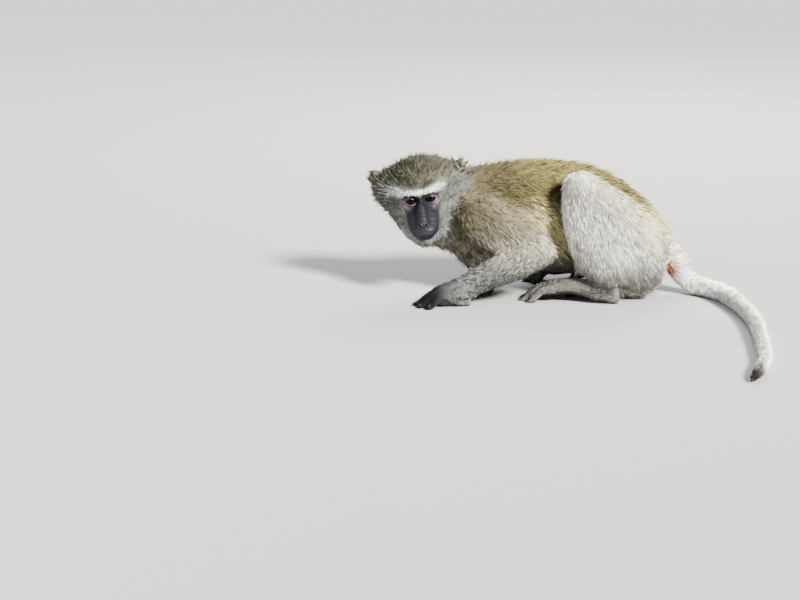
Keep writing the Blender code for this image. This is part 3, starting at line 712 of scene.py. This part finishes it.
def wear(skin, lookup):
    """Works out what grows where, once for the skin and the coat, and tints the skin with it:
    the coat's colour, darker where it is grizzled and deep, and the bare skin's own.  The
    darkening under the coat is painted shade in its gaps, and under grizzled hair also the
    hair's dark base."""
    mesh = skin.data
    places, normals, edges = places_of(mesh), normals_of(mesh), edges_of(mesh)
    labels = nodes_at(places, lookup)
    sizes, bare, colour, flow = grow(places, normals, labels)
    bare = spread(bare, edges, 1)[:, 0]
    colour = spread(colour, edges, 3)
    sizes = spread(sizes, edges, 12)
    flow = unit(spread(flow, edges, 36))
    on_head, on_ear = on_kinds(labels, "head"), on_kinds(labels, "ear")
    naked = np.where(on_head[:, None], face_tint(in_head(own(places))), colour)
    naked = np.where(on_kinds(labels, "hand", "foot")[:, None], PALM, naked)
    naked = np.where(on_ear[:, None], EAR, naked)
    # painted shade: the skin under the coat is darker than the hair, most under deep grizzled coat,
    # where it also stands for the hair's dark base
    under = colour * (0.84 - 0.65 * sizes[:, 4] * smoothstep(0.0015, 0.004, sizes[:, 0]))[:, None]
    under = mix(under, FACE, 0.8 * on_head * smoothstep(0.0045, 0.0015, sizes[:, 0]))
    tint = mix(under, naked, np.maximum(bare, on_ear))
    layer = mesh.attributes.new("tint", "FLOAT_COLOR", "POINT")
    layer.data.foreach_set("color", np.column_stack([tint, bare]).astype(np.float32).ravel())
    return places, normals, sizes, bare, colour, flow, labels


# ---------------------------------------------------------------- coat
def scatter(skin, worn):
    """Roots over the skin by density, with all that is worn there."""
    places, normals, sizes, bare, colour, flow, labels = worn
    mesh = skin.data
    corners = np.empty(len(mesh.loops), dtype=np.int64)
    mesh.loops.foreach_get("vertex_index", corners)
    corners = corners.reshape(-1, 3)
    uv = np.empty(len(mesh.loops) * 2)
    mesh.uv_layers["OFBake"].data.foreach_get("uv", uv)
    uv = uv.reshape(-1, 3, 2)
    a, b, c = (places[corners[:, k]] for k in range(3))
    area = 0.5e6 * np.linalg.norm(np.cross(b - a, c - a), axis=1)
    want = area * (sizes[:, 3] * smoothstep(0.85, 0.25, bare))[corners].mean(axis=1)
    total = np.cumsum(want)
    count = min(TUFTS_IN_ALL, int(total[-1]))
    chosen = np.searchsorted(total, (np.arange(count) + random.random(count)) * total[-1] / count)
    chosen = np.minimum(chosen, len(corners) - 1)
    r1, r2 = np.sqrt(random.random(count)), random.random(count)
    weights = np.stack([1 - r1, r1 * (1 - r2), r1 * r2], axis=1)

    def at_roots(values):
        return (values[corners[chosen]] * weights[:, :, None]).sum(axis=1)

    return {
        "place": at_roots(places),
        "normal": unit(at_roots(normals)),
        "sizes": at_roots(sizes),
        "colour": at_roots(colour),
        "flow": at_roots(flow),
        "uv": (uv[chosen] * weights[:, :, None]).sum(axis=1),
        "label": labels[corners[chosen, 0]],
    }


def drift(places, size, seed):
    """A smooth random direction for each place, which turns over lengths of about size."""
    rows = places / size + (seed, -seed, 0.5 * seed)
    return np.array([noise.noise_vector(Vector(p)) for p in rows])


def comb(skin, root):
    """Middle lines of the tufts: root, bend and tip, which follow the form under them.  Also
    their lie, and the lock each is in."""
    count = len(root["place"])
    place, normal = root["place"], root["normal"]
    lock = drift(place, LOCK, 3.0)
    depth, length = root["sizes"][:, 0], root["sizes"][:, 1] * (0.75 + 0.5 * random.random(count))
    wild = (0.13 + 0.26 * root["sizes"][:, 4])[:, None]
    flow = root["flow"] + 0.14 * drift(place, SWEEP, 9.0) + wild * lock
    flow = flow + 0.08 * random.standard_normal((count, 3))
    flow = unit(flow - normal * (flow * normal).sum(axis=1)[:, None])
    height = depth * root["sizes"][:, 5] * (0.62 + 0.30 * lock[:, 0] + 0.30 * random.random(count))
    stray = random.random(count) < STRAYS
    height, length = height * np.where(stray, 1.7, 1.0), length * np.where(stray, 1.15, 1.0)
    height = np.minimum(height, TALLEST)
    reach = np.sqrt(np.maximum(length**2 - height**2, (0.4 * length) ** 2))
    tree = BVHTree.FromObject(skin, bpy.context.evaluated_depsgraph_get())
    tip = place + flow * reach[:, None]
    for k in range(count):
        spot, facing, _, _ = tree.find_nearest(Vector(tip[k]))
        tip[k] = spot + facing * height[k]
    bend = place + 0.40 * (tip - place) + normal * (0.02 * length)[:, None]
    start = place - normal * 0.0005  # rooted in the skin
    return np.stack([start, bend, tip], axis=1), flow, lock


def tuft_mesh(name, lines, flow, normal, half, uv, colour, grizzle):
    """Closed tufts: thin four-sided splinters from root to tip, over the two sides of the bend."""
    count = len(lines)
    across = unit(np.cross(flow, normal)) * half[:, None]
    verts = np.empty((count, 4, 3))
    verts[:, 0], verts[:, 3] = lines[:, 0], lines[:, 2]
    above = lines[:, 1] + normal * half[:, None]
    verts[:, 1], verts[:, 2] = above + across, above - across
    verts[:, :, 2] = np.maximum(verts[:, :, 2], FLOOR_GAP + 0.0001)
    faces = np.array([(0, 1, 2), (3, 2, 1), (0, 3, 1), (0, 2, 3)])
    corners = (np.arange(count)[:, None, None] * 4 + faces).ravel()
    mesh = bpy.data.meshes.new(name)
    mesh.vertices.add(count * 4)
    mesh.vertices.foreach_set("co", verts.ravel())
    mesh.loops.add(len(corners))
    mesh.loops.foreach_set("vertex_index", corners)
    mesh.polygons.add(count * len(faces))
    mesh.polygons.foreach_set("loop_start", np.arange(count * len(faces)) * 3)
    spots = np.array([(0.0, -0.5), (-0.4, 0.0), (0.4, 0.0), (0.0, 0.5)])
    layer = mesh.uv_layers.new(name="OFBake")
    layer.data.foreach_set("uv", (uv[:, None, :] + PATCH * spots[faces.ravel()]).ravel())
    along = np.broadcast_to(np.array([0.0, 0.45, 0.45, 1.0])[None, :, None], (count, 4, 1))
    tint = np.concatenate([np.repeat(colour[:, None, :], 4, axis=1), along], axis=2)
    tone = mesh.attributes.new("tint", "FLOAT_COLOR", "POINT")
    tone.data.foreach_set("color", tint.astype(np.float32).ravel())
    mark = mesh.attributes.new("grizzle", "FLOAT", "POINT")
    mark.data.foreach_set("value", np.repeat(grizzle, 4).astype(np.float32))
    mesh.update()
    mesh.validate()
    mesh.shade_smooth()
    return mesh


# the pieces of the coat: what each grows on, and a slot name
COAT_PIECES = {
    "coat_head": (("head", "ear"), "crown_coat"),
    "coat_neck": (("neck",), "flank_coat"),
    "coat_trunk": (("trunk",), "back_coat"),
    "coat_arms": (("upper_arm", "forearm", "hand"), "grey_coat"),
    "coat_legs": (("thigh", "shank", "foot"), "pale_coat"),
    "coat_tail": (("tail",), "pale_coat"),
}


def make_coat(skin, worn, material):
    root = scatter(skin, worn)
    lines, flow, lock = comb(skin, root)
    count = len(lines)
    sizes = root["sizes"]
    grizzled = sizes[:, 4]
    vary = 1 + 0.26 * grizzled * random.standard_normal(count)
    vary = vary + 0.05 * random.standard_normal(count)
    vary += (0.08 + 0.50 * grizzled) * lock[:, 1]
    colour = np.clip(root["colour"] * np.clip(vary, 0.45, 1.6)[:, None], 0.0, 0.95)
    half = sizes[:, 2] * (0.75 + 0.5 * random.random(count))
    fleck = drift(root["place"], FLECK, 21.0)[:, 0]
    fleck += 0.12 * random.standard_normal(count)
    grizzle = np.where(fleck > 0.46 - 0.56 * grizzled, 1.0, 0.25 * grizzled)
    for piece, (kinds, slot) in COAT_PIECES.items():
        chosen = np.flatnonzero(on_kinds(root["label"], *kinds))
        random.shuffle(chosen)
        lots = math.ceil(len(chosen) / TUFTS_A_PIECE)
        for lot, part in enumerate(np.array_split(chosen, lots)):
            name = piece if lots == 1 else f"{piece}_{lot + 1}"
            mesh = tuft_mesh(name, lines[part], flow[part], root["normal"][part], half[part],
                             root["uv"][part], colour[part], grizzle[part])
            mesh.materials.append(material)
            obj = new_object(name, mesh)
            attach(obj, "root")


# ---------------------------------------------------------------- materials
def new_material(name, **values):
    """A Principled material, with values for its sockets by name."""
    material = bpy.data.materials.new(name)
    material.use_nodes = True
    nodes, links = material.node_tree.nodes, material.node_tree.links
    shader = nodes["Principled BSDF"]
    for key, value in values.items():
        shader.inputs[key.replace("_", " ")].default_value = value
    return material, nodes, links, shader


def tint_of(nodes):
    node = nodes.new("ShaderNodeAttribute")
    node.attribute_name = "tint"
    return node


def graded(nodes, links, level, stops):
    """A colour ramp over a level, from stops of place and colour."""
    node = nodes.new("ShaderNodeValToRGB")
    elements = node.color_ramp.elements
    while len(elements) < len(stops):
        elements.new(0.5)
    for element, (place, colour) in zip(elements, stops):
        element.position = place
        element.color = (*np.broadcast_to(colour, 3), 1.0)
    links.new(level, node.inputs["Fac"])
    return node.outputs["Color"]


def mixed(nodes, links, first, second, factor=1.0, way="MIX"):
    """Two colours mixed or multiplied, by a number or by another node's output."""
    node = nodes.new("ShaderNodeMix")
    node.data_type, node.blend_type = "RGBA", way
    if isinstance(factor, float):
        node.inputs["Factor"].default_value = factor
    else:
        links.new(factor, node.inputs["Factor"])
    links.new(first, node.inputs[6])
    links.new(second, node.inputs[7])
    return node.outputs[2]


def coat_material():
    """Each tuft is dark at its root, which is painted shade deep in the coat and on grizzled
    hair also the hair's own dark base, and grizzled hair has a pale band below a dark tip.
    """
    material, nodes, links, shader = new_material("coat", Roughness=0.62)
    shader.inputs["Specular IOR Level"].default_value = 0.22
    tint = tint_of(nodes)
    mark = nodes.new("ShaderNodeAttribute")
    mark.attribute_name = "grizzle"
    along = tint.outputs["Alpha"]
    # painted shade: plain tufts darken towards the root
    plain = graded(nodes, links, along, ((0.0, 0.70), (0.30, 0.92), (0.6, 1.0), (1.0, 1.0)))
    banded = graded(
        nodes, links, along, ((0.0, 0.22), (0.35, 0.32), (0.58, 0.90), (0.80, 0.28), (1.0, 0.10))
    )
    bands = mixed(nodes, links, plain, banded, mark.outputs["Fac"])
    product = mixed(nodes, links, tint.outputs["Color"], bands, way="MULTIPLY")
    links.new(product, shader.inputs["Base Color"])
    return material


def skin_material():
    """Skin with a fine mottle, and creases as a slight bump."""
    material, nodes, links, shader = new_material("skin", Roughness=0.58)
    shader.inputs["Specular IOR Level"].default_value = 0.35
    tint = tint_of(nodes)
    place = nodes.new("ShaderNodeTexCoord")
    mottle = nodes.new("ShaderNodeTexNoise")
    mottle.inputs["Scale"].default_value = 260.0
    mottle.inputs["Detail"].default_value = 5.0
    links.new(place.outputs["Object"], mottle.inputs["Vector"])
    level = nodes.new("ShaderNodeMapRange")
    level.inputs["To Min"].default_value = 0.72
    level.inputs["To Max"].default_value = 1.28
    links.new(mottle.outputs["Fac"], level.inputs["Value"])
    product = mixed(nodes, links, tint.outputs["Color"], level.outputs["Result"], way="MULTIPLY")
    links.new(product, shader.inputs["Base Color"])
    creases = nodes.new("ShaderNodeTexVoronoi")
    creases.feature = "SMOOTH_F1"
    creases.inputs["Scale"].default_value = 900.0
    links.new(place.outputs["Object"], creases.inputs["Vector"])
    bump = nodes.new("ShaderNodeBump")
    bump.invert = True
    bump.inputs["Strength"].default_value = 0.20
    bump.inputs["Distance"].default_value = 0.0005
    links.new(creases.outputs["Distance"], bump.inputs["Height"])
    links.new(bump.outputs["Normal"], shader.inputs["Normal"])
    return material


def eye_material():
    """A dark brown iris round a black pupil, under a wet surface.  The eye looks along its +X."""
    material, nodes, links, shader = new_material("eye", Roughness=0.10)
    shader.inputs["Specular IOR Level"].default_value = 0.14
    place = nodes.new("ShaderNodeTexCoord")
    split = nodes.new("ShaderNodeSeparateXYZ")
    links.new(place.outputs["Object"], split.inputs["Vector"])
    depth = nodes.new("ShaderNodeMapRange")
    depth.inputs["From Min"].default_value = EYE_RADIUS * 0.60
    depth.inputs["From Max"].default_value = EYE_RADIUS
    links.new(split.outputs["X"], depth.inputs["Value"])
    stops = (  # from the brown round the iris to the pupil
        (0.00, (0.020, 0.013, 0.012)),
        (0.26, (0.010, 0.006, 0.005)),
        (0.34, (0.003, 0.002, 0.002)),
        (0.48, (0.008, 0.004, 0.003)),
        (0.80, (0.014, 0.007, 0.005)),
        (0.875, (0.004, 0.002, 0.002)),
        (0.900, (0.001, 0.001, 0.001)),
    )
    rings = graded(nodes, links, depth.outputs["Result"], stops)
    links.new(rings, shader.inputs["Base Color"])
    return material


# ---------------------------------------------------------------- eyes and nails
def make_eyes(material):
    for side, way in (("left", 1), ("right", -1)):
        form = bmesh.new()
        bmesh.ops.create_uvsphere(form, u_segments=48, v_segments=32, radius=EYE_RADIUS)
        mesh = bpy.data.meshes.new("eyeball_" + side)
        form.to_mesh(mesh)
        form.free()
        mesh.shade_smooth()
        mesh.materials.append(material)
        eye = new_object("eyeball_" + side, mesh)
        aside = Matrix.Rotation(math.radians(way * 1.5), 4, "Z")
        gaze = aside @ Matrix.Rotation(math.radians(-6.0), 4, "Y")
        place = EYES[side] - HEAD_TURN @ Vector((EYE_SINK, 0.0, 0.0))
        eye.matrix_world = Matrix.Translation(place) @ HEAD_TURN.to_4x4() @ gaze
        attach(eye, "root")
        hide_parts("eye_" + side)


def digit_tips():
    """Where each finger and toe ends on the floor plan, its heading and its half width."""
    digits = []
    for side, outer in (("left", 1), ("right", -1)):
        forward, across = heading(HAND_HEADING[side])
        knuckles = WRIST[side] + forward * 0.040
        for offset, length, turn in FINGERS:
            base = knuckles + across * (outer * offset) - forward * (abs(offset) * 0.35)
            digits.append((base, HAND_HEADING[side] + outer * turn, length, 0.0054))
        thumb = WRIST[side] + forward * 0.016 - across * (outer * 0.014)
        digits.append((thumb, HAND_HEADING[side] - outer * 46, 0.022, 0.0050))
        forward, across = heading(FOOT_HEADING[side])
        heel = ANKLE[side] - forward * 0.009
        for offset, length, turn in TOES:
            base = heel + forward * (0.090 - abs(offset) * 0.4) + across * (outer * offset)
            digits.append((base, FOOT_HEADING[side] + outer * turn, length, 0.0060))
        big = heel + forward * 0.044 - across * (outer * 0.011)
        digits.append((big, FOOT_HEADING[side] - outer * 40, 0.034, 0.0064))
    tips = []
    for base, turn, length, half in digits:
        tip = base + heading(turn)[0] * length
        tips.append((Vector((tip.x, tip.y, 0.0)), turn, half))
    return tips


def make_nails(skin, material):
    """Short curved nails on the backs of the digits' ends."""
    tree = BVHTree.FromObject(skin, bpy.context.evaluated_depsgraph_get())
    form = bmesh.new()
    for tip, turn, half in digit_tips():
        forward = heading(turn)[0]
        above = tip + SHIFT - forward * 0.0020 + Vector((0, 0, 0.02))
        spot, facing, _, _ = tree.ray_cast(above, Vector((0, 0, -1)))
        if spot is None:
            continue
        up = (facing * 0.6 + forward * 0.5 + Vector((0, 0, 0.5))).normalized()
        along = (forward - up * forward.dot(up)).normalized()
        axes = Matrix((along, up.cross(along), up)).transposed().to_4x4()
        size = Matrix.Diagonal((half * 0.72, half * 0.56, half * 0.26, 1.0))
        place = Matrix.Translation(spot - up * half * 0.06) @ axes @ size
        bmesh.ops.create_uvsphere(form, u_segments=16, v_segments=8, radius=1.0, matrix=place)
    mesh = bpy.data.meshes.new("nails")
    form.to_mesh(mesh)
    form.free()
    mesh.shade_smooth()
    mesh.materials.append(material)
    nails = new_object("nails", mesh)
    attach(nails, "root")


# ---------------------------------------------------------------- studio
CAMERA_HEIGHT_ANGLE = 12.0  # degrees above the horizon
CAMERA_DISTANCE = 4.0
AIM = Vector((-0.199, -0.050, -0.002))  # what the middle of the picture looks at, in the own frame
VIEW_WIDTH = 1.136  # how much the picture takes in, across, at that distance


def make_floor():
    mesh = bpy.data.meshes.new("floor")
    mesh.from_pydata([(-30, -30, 0), (30, -30, 0), (30, 30, 0), (-30, 30, 0)], [], [(0, 1, 2, 3)])
    floor = new_object("floor", mesh)
    floor.location.z = -FLOOR_GAP
    grey = new_material("floor", Base_Color=(0.50, 0.49, 0.475, 1.0), Roughness=0.8)[0]
    mesh.materials.append(grey)


def make_light(name, place, size, power, colour=(1.0, 1.0, 1.0), kind="AREA"):
    """A soft light that looks at the model: a square one by size and watts, or a far one by angle
    and watts on each square metre."""
    data = bpy.data.lights.new(name, kind)
    data.energy, data.color = power, colour
    if kind == "SUN":
        data.angle = size
    else:
        data.size = size
    light = bpy.data.objects.new(name, data)
    scene.collection.objects.link(light)
    target = Vector((0.0, 0.0, 0.10)) + SHIFT
    light.location = Vector(place) + SHIFT
    light.rotation_euler = (target - light.location).to_track_quat("-Z", "Y").to_euler()


def make_studio():
    make_floor()
    scene.view_settings.look = "AgX - Medium High Contrast"
    make_light("key", (1.25, -1.90, 1.48), math.radians(11.5), 10.8, (1.0, 0.98, 0.94), "SUN")
    make_light("fill", (-2.2, -1.6, 1.1), 1.8, 32.0, (0.93, 0.96, 1.0))
    make_light("rim", (0.4, 1.9, 1.7), 1.2, 45.0)
    world = bpy.data.worlds.new("studio")
    world.use_nodes = True
    sky = world.node_tree.nodes["Background"]
    sky.inputs["Color"].default_value = (0.80, 0.84, 0.90, 1.0)
    sky.inputs["Strength"].default_value = 0.36
    scene.world = world
    camera = bpy.data.objects.new("camera", bpy.data.cameras.new("camera"))
    scene.collection.objects.link(camera)
    camera.data.lens = camera.data.sensor_width * CAMERA_DISTANCE / VIEW_WIDTH
    up = math.radians(CAMERA_HEIGHT_ANGLE)
    back = Vector((0.0, -math.cos(up), math.sin(up)))
    camera.location = AIM + SHIFT + back * CAMERA_DISTANCE
    camera.rotation_euler = (-back).to_track_quat("-Z", "Y").to_euler()
    scene.camera = camera


# ---------------------------------------------------------------- assembly
def main():
    lookup = build_lookup()
    skin = make_skin(lookup)
    unwrap(skin)
    worn = wear(skin, lookup)
    skin.data.materials.append(skin_material())
    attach(skin, "root")
    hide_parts(*FLESH)
    make_eyes(eye_material())
    make_nails(skin, new_material("nail", Base_Color=(0.018, 0.015, 0.014, 1.0), Roughness=0.55)[0])
    make_coat(skin, worn, coat_material())
    make_studio()


main()
